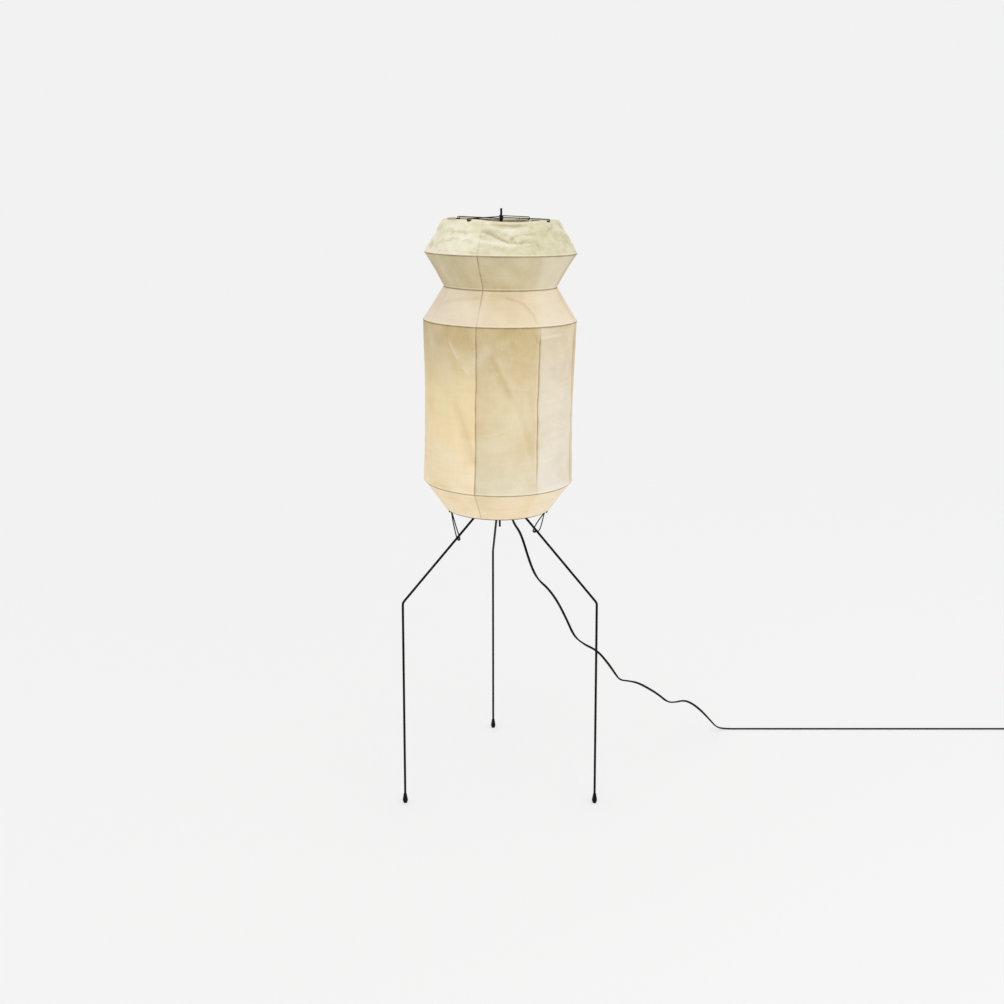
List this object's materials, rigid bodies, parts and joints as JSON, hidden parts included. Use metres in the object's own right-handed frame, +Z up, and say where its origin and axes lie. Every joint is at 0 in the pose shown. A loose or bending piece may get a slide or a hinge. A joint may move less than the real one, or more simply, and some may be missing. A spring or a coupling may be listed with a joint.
{
  "type": "floor lamp",
  "caption": "Tall waisted paper lantern on a thin steel post, clipped to a stand of bent rods in rubber feet, with a bulb inside and a black mains lead.",
  "frame": {"origin": "on the floor under the middle of the lamp's bounding box, its lead left aside; the post stands 49.5 mm in front of it", "axes": "+Z up the post, -Y the front, +X to the lamp's right as seen from the front, where the lead runs"},
  "size_m": [1.8222, 0.4554, 1.4303],
  "materials": {
    "washi_paper": "matte",
    "ring_wire": "satin",
    "cross_wire": "satin",
    "clip_wire": "satin",
    "stand_enamel": "satin",
    "ferrule_rubber": "matte",
    "zinc_steel": "satin",
    "knurled_steel": "satin",
    "phenolic": "gloss",
    "porcelain": "gloss",
    "fibre_liner": "matte",
    "brass": "satin",
    "cap_metal": "satin",
    "opal_glass": "satin",
    "cord_rubber": "matte",
    "lead_pvc": "satin",
    "tie_pvc": "matte",
    "plug_pvc": "satin"
  },
  "bodies": {
    "root": {"paper_gore_1": "washi_paper", "paper_gore_2": "washi_paper", "paper_gore_3": "washi_paper", "paper_gore_4": "washi_paper", "paper_gore_5": "washi_paper", "paper_gore_6": "washi_paper", "paper_gore_7": "washi_paper", "paper_gore_8": "washi_paper", "top_rim_ring": "ring_wire", "shoulder_ring": "ring_wire", "neck_ring": "ring_wire", "belt_ring": "ring_wire", "base_ring": "ring_wire", "bottom_rim_ring": "ring_wire", "cross_wire_lower": "cross_wire", "cross_wire_upper": "cross_wire", "post": "stand_enamel", "post_top_collar": "stand_enamel", "leg_front_left": "stand_enamel", "leg_front_right": "stand_enamel", "leg_back": "stand_enamel", "foot_front_left": "ferrule_rubber", "foot_front_right": "ferrule_rubber", "foot_back": "ferrule_rubber", "leg_hub": "stand_enamel", "holder_bracket": "zinc_steel", "bracket_screw": "zinc_steel", "holder_nipple": "zinc_steel", "nipple_nut": "zinc_steel", "holder_cup": "phenolic", "holder_shell": "phenolic", "socket_insulator": "porcelain", "holder_liner": "fibre_liner", "socket_screw_shell": "brass", "centre_contact": "brass", "cord_bush": "cord_rubber", "cord_hanging": "lead_pvc", "cord_floor": "lead_pvc", "cord_coil": "lead_pvc", "cord_tail": "lead_pvc", "coil_tie": "tie_pvc", "plug_body": "plug_pvc", "plug_blades": "brass"},
    "clip_left": {"clip_front_left": "clip_wire"},
    "clip_right": {"clip_front_right": "clip_wire"},
    "clip_rear": {"clip_back": "clip_wire"},
    "post_clamp": {"thumb_screw": "knurled_steel"},
    "switch": {"switch_knob": "phenolic"},
    "bulb": {"bulb_glass": "opal_glass", "bulb_cap": "cap_metal", "bulb_tip": "brass"}
  },
  "joints": [
    {"name": "clip_left_swing", "type": "hinge", "parent": "root", "child": "clip_left", "pos_m": [-0.11756, -0.10572, 0.73179], "axis": [0.4305, -0.9026, 0], "range_deg": [0, 50]},
    {"name": "clip_right_swing", "type": "hinge", "parent": "root", "child": "clip_right", "pos_m": [0.11051, -0.09703, 0.7288], "axis": [0.3955, 0.9184, 0], "range_deg": [0, 32]},
    {"name": "clip_rear_swing", "type": "hinge", "parent": "root", "child": "clip_rear", "pos_m": [-0.00897, 0.07578, 0.73037], "axis": [-0.9973, -0.0732, 0], "range_deg": [0, 34]},
    {"name": "thumb_screw_turn", "type": "hinge", "parent": "root", "child": "post_clamp", "pos_m": [0.00024, -0.04954, 0.767], "axis": [0, -1, 0], "range_deg": [0, 720]},
    {"name": "switch_turn", "type": "hinge", "parent": "root", "child": "switch", "pos_m": [0.0261, -0.02408, 0.84987], "axis": [0.7071, -0.7071, -0.0035], "continuous": true},
    {"name": "bulb_turn", "type": "hinge", "parent": "root", "child": "bulb", "pos_m": [0.02604, -0.02408, 0.83787], "axis": [0.0049, 0, 1], "range_deg": [0, 1260]}
  ]
}
